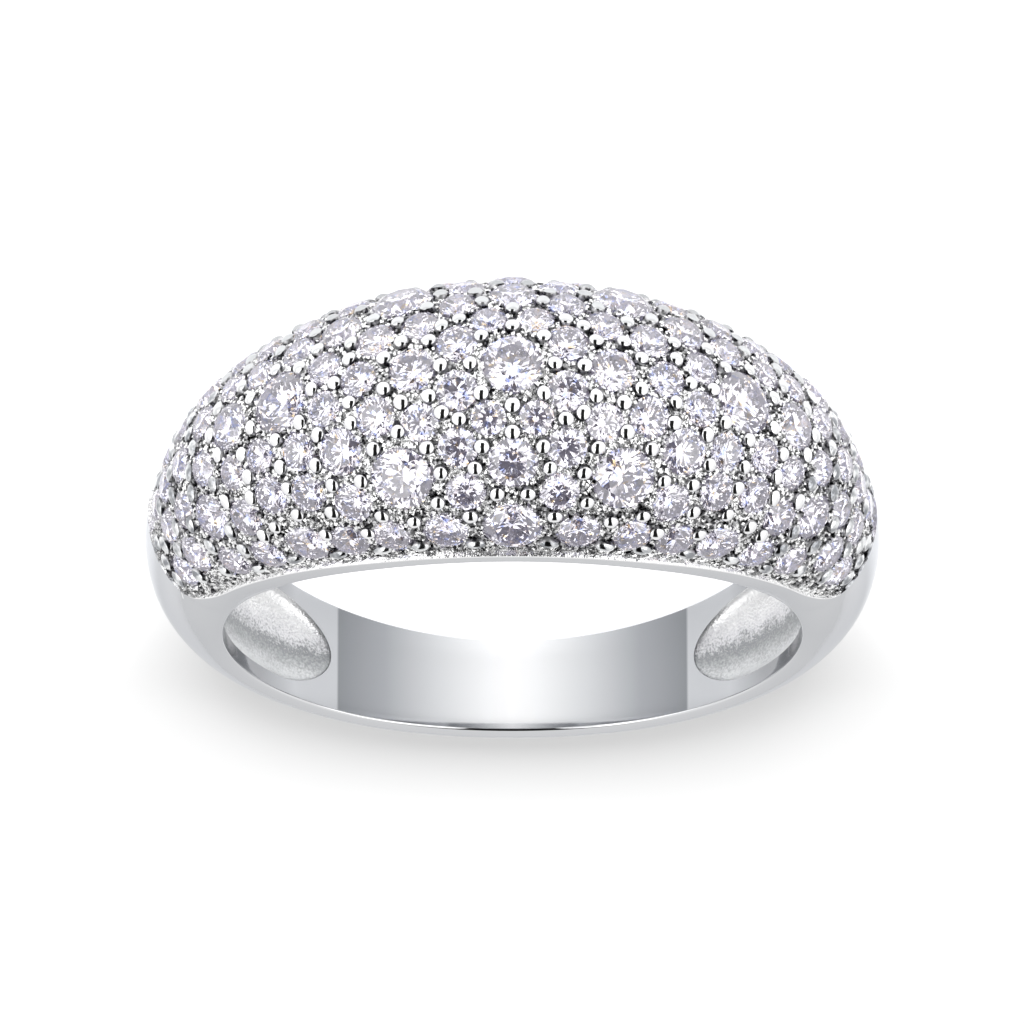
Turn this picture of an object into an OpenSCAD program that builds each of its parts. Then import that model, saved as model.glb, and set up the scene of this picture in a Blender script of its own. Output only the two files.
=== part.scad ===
// Band ring: one cast band with a wide crowned front, a finger bore, a pocket
// sunk into the inner face, and round cut stones in seats all over the front.
// Lengths are in millimetres. The ring lies on its side, front towards -Y.

/* [Band] */
// Diameter of the finger opening, about a US size 7
bore_d = 17.3; // [16.5:0.1:18.1]
// Width of the band along the finger, at the middle of the front
front_width = 8.76; // [8.5:0.02:9]
// Width of the band along the finger, at the back
back_width = 3.08; // [2.8:0.02:3.4]
// Height of the crown above the bore, at the middle of the front
front_rise = 4.55; // [4.5:0.01:4.7]
// Height of the crown above the bore, at the back
back_rise = 1.27; // [1.2:0.01:1.5]
// Thickness of the flat side face beside the bore, at the front
front_edge = 0.27; // [0.25:0.01:0.35]
// Thickness of the flat side face beside the bore, at the back
back_edge = 0.41; // [0.35:0.01:0.5]

/* [Stone field] */
// Angle round the ring at which the field ends, to each side of the front
field_end = 74.5; // [74:0.1:76]
// Section angle of the field's border at the middle of the front
field_border = 88; // [87:0.1:88.5]
// Depth of the field's floor below the polished surface
field_drop = 0.38; // [0.36:0.01:0.42]
// Size of the stones, as a share of the charted diameters
stone_share = 1; // [0.85:0.01:1]
// Gap between each stone and its seat
seat_gap = 0.03; // [0.02:0.005:0.05]

/* [Pocket] */
// Angle round the ring at which the pocket ends, to each side of the front
pocket_end = 140.5; // [135:0.5:145]
// Metal left between the pocket and the floor of the stone field
pocket_wall = 1.6; // [1.5:0.05:1.8]
// Metal left between the pocket and the crown, clear of the stone field
pocket_back_wall = 1; // [0.9:0.05:1.2]
// Width of the rim beside the pocket, at its ends
pocket_rim = 0.54; // [0.5:0.02:0.7]
// Extra width of the rim at the middle of the front, under the outer stones
pocket_rim_extra = 1; // [0.95:0.05:1.3]

/* [Hidden] */
bore_r = bore_d / 2;

// Shares of the way from the back's size (0) to the front's size (1), by the
// angle round the ring from the middle of the front.
SECTIONS = [
    // angle, width share, rise share
    [0, 1, 1],
    [25, 0.934, 0.918],
    [50, 0.726, 0.701],
    [70, 0.521, 0.457],
    [90, 0.37, 0.299],
    [110, 0.238, 0.152],
    [140, 0.095, 0.027],
    [180, 0, 0],
];

// Stones of one quarter of the field: the other quarters are its mirror images.
// A stone on an angle of 0 has no mirror image across that line.
STONES = [
    // round the ring, across the section, diameter
    [0, 0, 1.85],
    [13.3, 0, 1.4],
    [20.7, 0, 1.15],
    [33.2, 0, 1.95],
    [43.3, 0, 1.5],
    [7.3, 11, 1.25],
    [26, 9.8, 1.1],
    [50.2, 13, 1.1],
    [57, 0, 1.1],
    [18.6, 18.2, 1.25],
    [37.8, 21.5, 1.05],
    [3.2, 23, 1.05],
    [12.5, 23, 1.15],
    [43.8, 23.5, 1.05],
    [58.5, 25, 1.15],
    [31, 25.4, 1.15],
    [24.4, 30, 1.4],
    [7.5, 34.6, 1.2],
    [52, 38, 1.4],
    [38, 40.5, 1.15],
    [0, 41.5, 1.5],
    [31.4, 44.3, 1.2],
    [16.2, 45.6, 1.9],
    [44.8, 46.5, 1.2],
    [62, 49.5, 1.25],
    [69.4, 51, 1.1],
    [24.6, 53.6, 1.2],
    [7, 54, 1.2],
    [54.3, 66.3, 1.15],
    [36.6, 70.5, 1.35],
    [0, 72.5, 1.8],
    [45.8, 70.3, 1.15],
    [11.2, 74, 1.35],
    [28.6, 73.3, 1.25],
    [20.7, 74, 1.2],
    [65.8, 24, 1.15],
    [64, 0, 1.15],
    [70.5, 0, 1.05],
];
// Stones of this diameter and over are pieces of their own
main_d = 1.45;

// Proportions of a cut stone, as shares of its diameter
table_share = 0.58;
crown_share = 0.15;
girdle_share = 0.03;
pavilion_share = 0.43;
stone_sides = 8;
// The facets' corners stand half a facet off the line round the ring
function corner_angle(k) = 360 * (k + 0.5) / stone_sides;
// Height of the girdle's lower edge above the floor: a wide stone sits lower,
// because the floor falls away under it on this radius
girdle_rise = 0.15;
floor_radius = 4.2;
function girdle_level(d) = girdle_rise - d * d / (8 * floor_radius);
// How far the band and the pocket reach into the bore, and a seat past the floor
past = 0.4;
seat_past = 0.06;

// Smooth curve through the rows of a table, flat at its first and last row
function slope(rows, i, col) =
    i == 0 || i == len(rows) - 1 ? 0
    : (rows[i + 1][col] - rows[i - 1][col]) / (rows[i + 1][0] - rows[i - 1][0]);
function row_below(rows, x, i = 0) =
    i >= len(rows) - 2 || x < rows[i + 1][0] ? i : row_below(rows, x, i + 1);
function hermite(p0, m0, p1, m1, s) =
    p0 * (2 * s ^ 3 - 3 * s ^ 2 + 1) + m0 * (s ^ 3 - 2 * s ^ 2 + s)
    + p1 * (3 * s ^ 2 - 2 * s ^ 3) + m1 * (s ^ 3 - s ^ 2);
function along(rows, x, col) =
    let (i = row_below(rows, x), gap = rows[i + 1][0] - rows[i][0])
    hermite(rows[i][col], slope(rows, i, col) * gap,
            rows[i + 1][col], slope(rows, i + 1, col) * gap, (x - rows[i][0]) / gap);

// Half width, rise and edge thickness of the band at an angle round the ring
function half_width(a) =
    (back_width + (front_width - back_width) * along(SECTIONS, abs(a), 1)) / 2;
function rise(a) = back_rise + (front_rise - back_rise) * along(SECTIONS, abs(a), 2);
function edge(a) = front_edge + (back_edge - front_edge) * (1 - cos(a)) / 2;

// A point at an angle round the ring (a), a radius from the finger's axis (r)
// and a height along that axis (z). Angle 0 is the middle of the front.
function round_ring(a, r, z) = [r * sin(a), -r * cos(a), z];
// A point of the outer surface, or of one sunk below it by drop. The section
// angle t is 0 on the crown and 90 at the flat side face.
function skin_point(a, t, drop = 0) =
    round_ring(a, bore_r + edge(a) + (rise(a) - edge(a) - drop) * cos(t),
               (half_width(a) - drop) * sin(t));

// The field's border: a section angle that falls slowly towards the shoulders
// and turns a round corner at the field's end
border_fall = 10;
border_fall_at = 70;
corner_reach = 10.5;
corner_start = field_end - corner_reach;
corner_fall = 20;
function side_border(a) =
    field_border - border_fall * pow(min(abs(a), field_end) / border_fall_at, 2);
function corner(a) =
    let (s = min(1, max(0, (abs(a) - corner_start) / (field_end - corner_start))))
    corner_fall * (1 - sqrt(1 - s * s));
// Past the end the same columns spread out again, over this many degrees
spread = 12;
function border(a) =
    abs(a) <= field_end ? side_border(a) - corner(a)
    : side_border(a) - corner_fall * max(0, 1 - (abs(a) - field_end) / spread);

// Columns of the outer surface: shares of the border's angle inside the field,
// and shares of the way from the border to the side face outside it
FIELD_COLUMNS = [0, 0.14, 0.28, 0.42, 0.56, 0.7, 0.84, 0.98];
EDGE_COLUMNS = [0, 0.5, 1];
function column_angles(a) = concat(
    [for (c = FIELD_COLUMNS) c * border(a)],
    [for (c = EDGE_COLUMNS) border(a) + c * (90 - border(a))]);
last_field_column = len(FIELD_COLUMNS) - 1;
// The pocket: part of an ellipse in section, sunk outwards from the bore. Past
// its ends its floor lies inside the bore, where it is cut away.
pocket_round = 14;
pocket_blunt = 0.35;
pocket_columns = 9;
pocket_spread = 76;
function pocket_end_share(a) =
    let (s = max(0, (abs(a) - (pocket_end - pocket_round)) / pocket_round))
    sqrt(max(0, 1 - s * s));
// The metal outside the pocket thins past the stone field
thin_from = 65;
thin_over = 30;
function wall_at(a) =
    let (s = min(1, max(0, (abs(a) - thin_from) / thin_over)))
    (pocket_wall + field_drop) * (1 - s) + pocket_back_wall * s;
function pocket_depth(a) =
    abs(a) < pocket_end ? (rise(a) - wall_at(a)) * pocket_end_share(a) : -past;
least_half = 0.3;
function pocket_half(a) =
    max(least_half, (half_width(a) - pocket_rim - pocket_rim_extra * max(0, cos(a)))
                    * pocket_end_share(a));
function pocket_side(a) = concat(
    [round_ring(a, bore_r - past, pocket_half(a))],
    [for (k = [pocket_columns : -1 : 0])
        let (s = pocket_spread * (2 * k / pocket_columns - 1))
        round_ring(a, bore_r - past + (pocket_depth(a) + past) * cos(s), pocket_half(a) * sin(s))],
    [round_ring(a, bore_r - past, -pocket_half(a))]);

// One section of the band, from the lower side face over the crown to the upper
// one, and back through the pocket. What lies inside the bore is cut away later.
function outline(a) =
    let (ts = column_angles(a),
         half = [for (i = [0 : len(ts) - 1])
             let (sunk = i <= last_field_column && abs(a) <= field_end)
             [ts[i], sunk ? field_drop : 0]])
    concat(
        [round_ring(a, bore_r - past, -half_width(a))],
        [for (i = [len(half) - 1 : -1 : 1]) skin_point(a, -half[i][0], half[i][1])],
        [for (h = half) skin_point(a, h[0], h[1])],
        [round_ring(a, bore_r - past, half_width(a))],
        pocket_side(a));

// Angles of the sections round one half of the ring: along the field, round
// its corner, past its end wall to the pocket's round end, and on to the back
field_steps = 12;
corner_steps = 7;
shoulder_steps = 8;
round_steps = 6;
back_steps = 5;
end_wall = 0.6;
shoulder_start = field_end + end_wall;
round_start = pocket_end - pocket_round;
back_start = pocket_end + pocket_blunt;
function quarter_turn(i, steps) = sin(90 * i / steps);
HALF_ANGLES = concat(
    [for (i = [0 : field_steps - 1]) corner_start * i / field_steps],
    [for (i = [0 : corner_steps])
        corner_start + (field_end - corner_start) * quarter_turn(i, corner_steps)],
    [for (i = [0 : shoulder_steps - 1])
        shoulder_start + (round_start - shoulder_start) * i / shoulder_steps],
    [for (i = [0 : round_steps])
        round_start + (pocket_round - pocket_blunt) * quarter_turn(i, round_steps)],
    [for (i = [0 : back_steps - 1]) back_start + (180 - back_start) * i / back_steps]);
RING_ANGLES = concat([180], [for (i = [len(HALF_ANGLES) - 1 : -1 : 1]) -HALF_ANGLES[i]], HALF_ANGLES);

// Each section is joined to the next one by two faces for each pair of points
module band_body() {
    rings = [for (a = RING_ANGLES) outline(a)];
    n = len(rings[0]);
    polyhedron(
        [for (r = rings) each r],
        [for (i = [0 : len(rings) - 1], k = [0 : n - 1])
            let (j = (i + 1) % len(rings), m = (k + 1) % n)
            for (f = [[i * n + k, j * n + m, j * n + k], [i * n + k, i * n + m, j * n + m]]) f]);
}

// The charted stones with their mirror images
function mirrored(x) = x == 0 ? [0] : [x, -x];
ALL_STONES = [for (s = STONES, a = mirrored(s[0]), t = mirrored(s[1])) [a, t, s[2] * stone_share]];
MAIN = [for (s = ALL_STONES) if (s[2] >= main_d * stone_share) s];
SMALL = [for (s = ALL_STONES) if (s[2] < main_d * stone_share) s];

// The place of a stone: a point of the field's floor and three directions, along
// the ring, across it and straight out
step = 0.01;
function field_frame(stone) =
    let (p = skin_point(stone[0], stone[1], field_drop),
         u = skin_point(stone[0] + step, stone[1], field_drop) - p,
         v = skin_point(stone[0], stone[1] + step, field_drop) - p,
         x = u / norm(u),
         normal = cross(u, v) / norm(cross(u, v)))
    [p, x, cross(normal, x), normal];
function put(f, q) = f[0] + q[0] * f[1] + q[1] * f[2] + q[2] * f[3];

// Cut stones as one solid with a shell for each. A stone has a flat table, a ring
// of crown facets, a thin girdle and a ring of pavilion facets down to a point.
function ring_points(f, r, z) = [for (k = [0 : stone_sides - 1])
    put(f, [r * cos(corner_angle(k)), r * sin(corner_angle(k)), z])];
function stone_points(stone) =
    let (f = field_frame(stone), d = stone[2], low = girdle_level(d), high = low + girdle_share * d)
    concat(ring_points(f, d * table_share / 2, high + crown_share * d),
           ring_points(f, d / 2, high),
           ring_points(f, d / 2, low),
           [put(f, [0, 0, low - pavilion_share * d])]);
// A seat is a cone of flat faces, parallel to the pavilion and clear of it
widen = 1 / (2 * pavilion_share);
function seat_tip(d) = girdle_level(d) - pavilion_share * d - seat_gap / sin(atan(widen));
function seat_points(stone) =
    let (f = field_frame(stone), tip = seat_tip(stone[2]))
    concat(ring_points(f, (seat_past - tip) * widen, seat_past), [put(f, [0, 0, tip])]);
// Faces of one shell: its top, the bands between its rings of points, its tip
function shell_faces(first, rings) =
    let (n = stone_sides, last = first + (rings - 1) * n)
    concat([[for (k = [n - 1 : -1 : 0]) first + k]],
           [for (i = [0 : 1 : rings - 2], k = [0 : n - 1])
               let (g = first + i * n, m = (k + 1) % n)
               [g + k, g + m, g + n + m, g + n + k]],
           [for (k = [0 : n - 1]) [last + k, last + (k + 1) % n, last + n]]);
module shells(places, rings) {
    size = len(places[0]);
    polyhedron([for (p = places) each p],
               [for (i = [0 : len(places) - 1]) each shell_faces(i * size, rings)]);
}
module cut_stones(stones) {
    shells([for (s = stones) stone_points(s)], 3);
}
module seats() {
    shells([for (s = ALL_STONES) seat_points(s)], 1);
}

// The pose: the ring lies on its side and touches with the front's inner rim
// and the back's outer rim, so it leans by a few degrees
lean = atan((front_width - back_width) / 2 / (2 * bore_r + back_edge));
function reach_back(y_part, z_part) =
    (bore_r + back_edge) * abs(y_part)
    + norm([(back_rise - back_edge) * y_part, back_width / 2 * z_part]);
function reach_front(y_part, z_part) =
    (bore_r + front_edge) * abs(y_part)
    + norm([(front_rise - front_edge) * y_part, front_width / 2 * z_part]);
lift = reach_back(sin(lean), cos(lean));
centre_y = (reach_front(cos(lean), sin(lean)) - reach_back(cos(lean), sin(lean))) / 2;
module lying() {
    translate([0, centre_y, lift]) rotate([-lean, 0, 0]) children();
}

module band() {
    color("silver")
        lying()
            difference() {
                band_body();
                cylinder(h = 2 * front_width, r = bore_r, center = true, $fn = 96);
                seats();
            }
}

module main_stone(i) {
    color("lavender") lying() cut_stones([MAIN[i]]);
}

module small_stones(side) {
    color("lavender") lying() cut_stones([for (s = SMALL) if (sign(s[0]) == side) s]);
}

band();
for (i = [1 : len(MAIN)])
    main_stone(i - 1);
small_stones(-1);  // stones_left
small_stones(1);  // stones_right
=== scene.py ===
# %% [markdown]
# # A band ring with a domed front full of small stones
#
# The ring is one casting in white metal. Its front is a wide dome, its back a
# narrow shank, and the dome is set all over with round stones that small
# metal beads hold down. The CAD model gives the sizes and the place; here each
# surface gets the finish that a polisher, a setter and a sandblaster leave.
#
# We start by opening the CAD model. It lies on its side on the table, wide
# front towards -Y, so everything that we add has to lie in that same place.

# %% Open the CAD model
import math

import bpy
import numpy as np
from mathutils import Matrix, Vector


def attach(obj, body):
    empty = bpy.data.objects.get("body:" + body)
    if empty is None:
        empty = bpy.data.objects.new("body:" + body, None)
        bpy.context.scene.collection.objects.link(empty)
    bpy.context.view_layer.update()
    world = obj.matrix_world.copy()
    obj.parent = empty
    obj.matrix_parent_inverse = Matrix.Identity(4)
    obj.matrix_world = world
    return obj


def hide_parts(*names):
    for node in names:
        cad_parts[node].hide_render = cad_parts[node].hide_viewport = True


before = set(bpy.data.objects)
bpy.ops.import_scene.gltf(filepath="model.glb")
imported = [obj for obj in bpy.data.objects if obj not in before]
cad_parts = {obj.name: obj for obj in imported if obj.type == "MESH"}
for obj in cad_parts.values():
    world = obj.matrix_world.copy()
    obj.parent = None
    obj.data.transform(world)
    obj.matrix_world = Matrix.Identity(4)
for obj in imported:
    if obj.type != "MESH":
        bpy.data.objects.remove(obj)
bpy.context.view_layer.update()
print("CAD nodes:", len(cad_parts))

# %% [markdown]
# ## The shape of the band
#
# A caster would carve this ring in wax, and so could we, by sculpting. But its
# shape is regular, so we describe it with two angles. The ring angle goes
# round the finger, with 0 at the middle of the front. The section angle goes
# across the band, with 0 on the crown and 90 on the flat side face. A short
# table says how wide and how high the band is at some ring angles, and a
# smooth curve fills in between. With that, one formula gives every point of
# the polished skin, and the same formula sunk by a little gives the floor that
# the stones sit on. In all that follows, `a` is a ring angle and `t` a section
# angle.

# %% Sizes of the band, in millimetres and degrees
MM = 0.001
BORE = 8.65  # radius of the finger hole
# width, height over the bore, and height of the flat side face
FRONT_WIDTH, FRONT_RISE, FRONT_EDGE = 8.76, 4.55, 0.27
BACK_WIDTH, BACK_RISE, BACK_EDGE = 3.08, 1.27, 0.41
SECTIONS = np.array([
    # ring angle, and how much of the change from back to front there is: in width, in rise
    (0, 1, 1), (25, 0.934, 0.918), (50, 0.726, 0.701), (70, 0.521, 0.457),
    (90, 0.37, 0.299), (110, 0.238, 0.152), (140, 0.095, 0.027), (180, 0, 0)])
FIELD_END = 74.5  # ring angle where the field of stones ends
FIELD_DROP = 0.38  # depth of the field's floor below the polished skin
print("the front is", FRONT_WIDTH, "mm wide and the back is", BACK_WIDTH, "mm wide")

# %% A smooth curve through the table


def smooth_table(angle, column):
    """A smooth curve through one column of SECTIONS, flat at both ends."""
    x, y = SECTIONS[:, 0], SECTIONS[:, column]
    slope = np.zeros(len(x))
    slope[1:-1] = (y[2:] - y[:-2]) / (x[2:] - x[:-2])
    i = np.clip(np.searchsorted(x, angle, side="right") - 1, 0, len(x) - 2)
    gap = x[i + 1] - x[i]
    s = (angle - x[i]) / gap
    return (y[i] * (2 * s**3 - 3 * s**2 + 1) + slope[i] * gap * (s**3 - 2 * s**2 + s)
            + y[i + 1] * (3 * s**2 - 2 * s**3) + slope[i + 1] * gap * (s**3 - s**2))


def half_width(a):
    """Half the width of the band at a ring angle."""
    return (BACK_WIDTH + (FRONT_WIDTH - BACK_WIDTH) * smooth_table(np.abs(a), 1)) / 2


def rise(a):
    """Height of the polished crown over the bore."""
    return BACK_RISE + (FRONT_RISE - BACK_RISE) * smooth_table(np.abs(a), 2)


def edge(a):
    """Height of the flat side face over the bore."""
    return FRONT_EDGE + (BACK_EDGE - FRONT_EDGE) * (1 - np.cos(np.radians(a))) / 2


print("at 45 degrees the band is", round(2 * float(half_width(45)), 2), "mm wide")

# %% Points of the polished skin


def round_ring(a, radius, height):
    """A point at an angle round the finger's axis, in the ring's own upright axes."""
    a = np.radians(a)
    return np.stack(np.broadcast_arrays(radius * np.sin(a), -radius * np.cos(a), height), -1)


def skin(a, t, drop=0.0):
    """The polished skin at ring angle a and section angle t, sunk by drop."""
    a, t, drop = np.broadcast_arrays(np.asarray(a, float), np.asarray(t, float), drop)
    radius = BORE + edge(a) + (rise(a) - edge(a) - drop) * np.cos(np.radians(t))
    return round_ring(a, radius, (half_width(a) - drop) * np.sin(np.radians(t)))


print("crown radius at the front:", BORE + rise(0), "mm")

# %% [markdown]
# ## Lying on its side
#
# The front is wider than the back, so on a table the ring leans a little: it
# touches with the lower edge of the front and of the back. The CAD model has
# the same lean, and every point that we make goes through this one function.

# %% The ring's lean, as in the CAD model
LEAN = math.atan((FRONT_WIDTH - BACK_WIDTH) / 2 / (2 * BORE + BACK_EDGE))
COS_LEAN, SIN_LEAN = math.cos(LEAN), math.sin(LEAN)


def reach(rise_here, edge_here, width, y_part, z_part):
    """How far one section of the ring reaches along a direction."""
    return (BORE + edge_here) * abs(y_part) + math.hypot((rise_here - edge_here) * y_part, width / 2 * z_part)


LIFT = reach(BACK_RISE, BACK_EDGE, BACK_WIDTH, SIN_LEAN, COS_LEAN)
CENTRE_Y = (reach(FRONT_RISE, FRONT_EDGE, FRONT_WIDTH, COS_LEAN, SIN_LEAN)
            - reach(BACK_RISE, BACK_EDGE, BACK_WIDTH, COS_LEAN, SIN_LEAN)) / 2


def turn(vectors):
    """Turns directions from the ring's own axes to the table's."""
    v = np.asarray(vectors, float)
    return np.stack([v[..., 0], v[..., 1] * COS_LEAN + v[..., 2] * SIN_LEAN,
                     -v[..., 1] * SIN_LEAN + v[..., 2] * COS_LEAN], -1)


def lay_down(points):
    """Takes points in millimetres to their place on the table, in metres."""
    return (turn(points) + [0, CENTRE_Y, LIFT]) * MM


print("lean:", round(math.degrees(LEAN), 2), "degrees")
print("centre of the bore:", (0, round(CENTRE_Y, 3), round(LIFT, 3)), "mm")

# %% [markdown]
# ## Making a mesh from lists
#
# All pieces are built from lists of points and faces. Sculpting by hand or
# cutting shapes out of each other would also do, but with lists each point
# comes from a formula, so the piece is the same each time. One helper turns
# such lists into an object, gives each face its material and makes the piece
# ride on the ring's only body, so that it stays in the CAD model's place.

# %% A helper that makes a piece


def add_piece(name, points, faces, materials, face_materials=None, smooth=None):
    """Makes a mesh object; smooth is the angle in degrees above which an edge stays sharp."""
    mesh = bpy.data.meshes.new(name)
    mesh.from_pydata(np.asarray(points).reshape(-1, 3).tolist(), [], faces)
    for material in materials:
        mesh.materials.append(material)
    if face_materials is not None:
        mesh.polygons.foreach_set("material_index", np.asarray(face_materials, dtype=np.int32))
    mesh.polygons.foreach_set("use_smooth", np.full(len(mesh.polygons), smooth is not None))
    if smooth is not None:
        mesh.set_sharp_from_angle(angle=math.radians(smooth))
    mesh.validate()
    piece = bpy.data.objects.new(name, mesh)
    bpy.context.scene.collection.objects.link(piece)
    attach(piece, "root")
    print(name, "has", len(mesh.vertices), "points and", len(mesh.polygons), "faces")
    return piece


# %% [markdown]
# ## Writing shader maths as Python
#
# Blender's materials are node graphs. To read them like sums, a small class
# wraps one output socket: adding or multiplying two wires adds a Math node,
# and every other node comes from its one method `node`. A few helpers then
# give the things that most finishes start from: a soft step, a colour ramp, a
# coordinate of the place, and a noise whose size is given in millimetres.

# %% A wrapper for shader sockets


class Wire:
    """An output socket, or the start of a material when socket is None."""

    def __init__(self, tree, socket=None):
        self.tree, self.socket = tree, socket

    def node(self, kind, settings=None, output=0, inputs=None):
        """Adds a node: its settings first, then the values or wires of its sockets."""
        made = self.tree.nodes.new("ShaderNode" + kind)
        for key, value in (settings or {}).items():
            if key == "stops":
                elements = made.color_ramp.elements
                while len(elements) < len(value):
                    elements.new(1.0)
                for element, (place, colour) in zip(elements, value):
                    element.position, element.color = place, (*colour, 1.0)
            else:
                setattr(made, key, value)
        for key, value in (inputs or {}).items():
            if isinstance(value, Wire):
                self.tree.links.new(value.socket, made.inputs[key])
            else:
                made.inputs[key].default_value = value
        return Wire(self.tree, made.outputs[output] if made.outputs else None)

    def math(self, operation, first, second):
        return self.node("Math", {"operation": operation}, inputs={0: first, 1: second})

    def __add__(self, other):
        return self.math("ADD", self, other)

    def __sub__(self, other):
        return self.math("SUBTRACT", self, other)

    def __rsub__(self, other):
        return self.math("SUBTRACT", other, self)

    def __mul__(self, other):
        return self.math("MULTIPLY", self, other)

    __radd__, __rmul__ = __add__, __mul__


print("a Wire knows +, - and *")

# %% Starting and finishing a material


def new_material(name):
    """An empty node material and the wire that its nodes start from."""
    material = bpy.data.materials.new(name)
    material.use_nodes = True
    material.node_tree.nodes.clear()
    return material, Wire(material.node_tree)


def finish_material(start, shader):
    start.node("OutputMaterial", inputs={"Surface": shader})


def coordinate(start, axis):
    """One coordinate of the place on the object, in metres: 0 is across, 1 to the back, 2 up."""
    return start.node("SeparateXYZ", output=axis, inputs={0: start.node("TexCoord", output="Object")})


def step_up(value, place, softness):
    """0 below a place and 1 above it, with a soft edge."""
    return value.node("MapRange", {"interpolation_type": "SMOOTHSTEP"}, inputs={
        "Value": value, "From Min": place - softness, "From Max": place + softness})


def ramp(value, stops):
    """A colour ramp; each stop is a place and its colour."""
    return value.node("ValToRGB", {"stops": stops}, inputs={"Fac": value})


def noise(start, size_mm, detail=2.0):
    """Noise whose features are about size_mm across on the ring."""
    place = start.node("TexCoord", output="Object")
    return start.node("TexNoise", inputs={"Vector": place, "Scale": 1 / (size_mm * MM), "Detail": detail})


print("shader helpers are ready")

# %% [markdown]
# ## Polished white metal
#
# The outside, the side faces and the finger hole are polished on a wheel. A
# mirror finish on metal is a metallic shader with low roughness. A real
# polish is never even, so a slow noise moves the roughness a little, and a
# finer one gives the faint waviness that a wheel leaves. Metal grows
# brighter where we see it edge on. The edge colour tames that, or else the
# shoulders would melt into the white ground. The same function makes the
# coarser finishes, with other numbers.

# %% Polished metal


def metal(name, light, dark, rough, rough_change, patch_mm, grain_mm, grain_depth_mm, grain_strength,
          middle=0.5, softness=0.5, edge_colour=(1.0, 1.0, 1.0)):
    """A metallic finish in light and dark patches, with a raised grain."""
    material, start = new_material(name)
    patches = step_up(noise(start, patch_mm), middle, softness)
    grain = noise(start, grain_mm, detail=3.0)
    tone = start.node("Mix", {"data_type": "RGBA"}, output=2,
                      inputs={0: patches, 6: (*dark, 1), 7: (*light, 1)})
    bump = start.node("Bump", inputs={
        "Height": grain, "Strength": grain_strength, "Distance": grain_depth_mm * MM})
    shader = start.node("BsdfPrincipled", inputs={
        "Base Color": tone, "Metallic": 1.0, "Roughness": rough + rough_change * (patches - 0.5),
        "Normal": bump, "Specular Tint": (*edge_colour, 1)})
    finish_material(start, shader)
    print(name, "is ready")
    return material


polished = metal("polished_metal", light=(0.76, 0.765, 0.78), dark=(0.72, 0.725, 0.74),
                 rough=0.08, rough_change=0.04, patch_mm=3.0,
                 grain_mm=0.8, grain_depth_mm=0.002, grain_strength=0.15,
                 edge_colour=(0.68, 0.69, 0.71))

# %% [markdown]
# ## The finger side of the shank
#
# A polished hollow cylinder shows the studio as upright stripes: bright in the
# middle, darker towards the sides and lighter again past a sharp edge. On our
# white table there is nothing that could draw those stripes, so this finish
# carries them in its colour as a painted reflection. A ramp turns the place
# across the ring, from the middle to the side, into that painted grey.

# %% Polished bore with a painted reflection in upright stripes
PAINTED_REFLECTION_STRIPES = [
    # share of the way from the middle to the side, colour
    (0.0, (0.79, 0.79, 0.8)), (0.08, (0.74, 0.745, 0.755)), (0.27, (0.53, 0.54, 0.555)),
    (0.45, (0.32, 0.33, 0.35)), (0.61, (0.225, 0.235, 0.25)), (0.616, (0.47, 0.48, 0.5)),
    (0.76, (0.47, 0.48, 0.5)), (0.88, (0.26, 0.265, 0.28)), (1.0, (0.14, 0.145, 0.155))]
BORE_ROUGH, BORE_ROUGH_CHANGE, BORE_PATCH_MM = 0.08, 0.04, 2.0


def bore_finish():
    """Polished metal whose colour, a painted reflection, follows the place across the ring."""
    material, start = new_material("polished_bore")
    across = start.math("ABSOLUTE", coordinate(start, 0), 0.0)
    rough = BORE_ROUGH + BORE_ROUGH_CHANGE * (noise(start, BORE_PATCH_MM) - 0.5)
    finish_material(start, start.node("BsdfPrincipled", inputs={
        "Base Color": ramp(across * (1 / (BORE * MM)), PAINTED_REFLECTION_STRIPES), "Metallic": 1.0, "Roughness": rough}))
    return material


bore_polish = bore_finish()
print(bore_polish.name, "has", len(PAINTED_REFLECTION_STRIPES), "stops")

# %% [markdown]
# ## Metal that the graver cut
#
# The floor between the stones and the crumbs on it are cut up by the setter's
# graver, so they glitter and hold dark spots. Two finishes do that. The first
# is bright with small dark patches and a deep grain. The second is painted
# shade: its larger patches are almost black, for what stands in the shade,
# which is some crumbs and the roots of the beads.

# %% Graver-cut metal and metal in painted shade
graver_cut = metal("graver_cut_metal", light=(1.0, 1.0, 1.0), dark=(0.1, 0.1, 0.11),
                   rough=0.2, rough_change=-0.1, patch_mm=0.09, middle=0.34, softness=0.06,
                   grain_mm=0.12, grain_depth_mm=0.05, grain_strength=0.8)
# painted shade: near-black patches for the roots of the beads and some crumbs
painted_shade_metal = metal("painted_shade_metal", light=(0.6, 0.6, 0.61), dark=(0.03, 0.03, 0.035),
                  rough=0.3, rough_change=0.1, patch_mm=0.2, softness=0.15,
                  grain_mm=0.1, grain_depth_mm=0.01, grain_strength=0.5)

# %% [markdown]
# ## The beads' polish and the bright line
#
# A bead is burnished to a mirror by the tool that rounds it. Beads at the
# border and on the shoulders are pushed over, and they come out greyer and
# less even. Round the whole field the setter cuts a narrow line, and its white
# colour is a painted highlight that makes it bright. All of it is the same
# metal, so only the colours, the roughness and the size of the patches differ.

# %% Pushed-over bead, and the bright line with its painted highlight
pressed_bead = metal("pressed_bead", light=(0.86, 0.87, 0.88), dark=(0.3, 0.31, 0.33),
                     rough=0.12, rough_change=0.05, patch_mm=0.35, softness=0.12,
                     grain_mm=0.2, grain_depth_mm=0.01, grain_strength=0.3)
# the line is a real cut; its white colour is a painted highlight
line_with_painted_highlight = metal("bright_cut_line", light=(1.0, 1.0, 1.0), dark=(0.9, 0.9, 0.91),
                    rough=0.15, rough_change=0.05, patch_mm=0.5,
                    grain_mm=0.2, grain_depth_mm=0.01, grain_strength=0.3)
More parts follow.
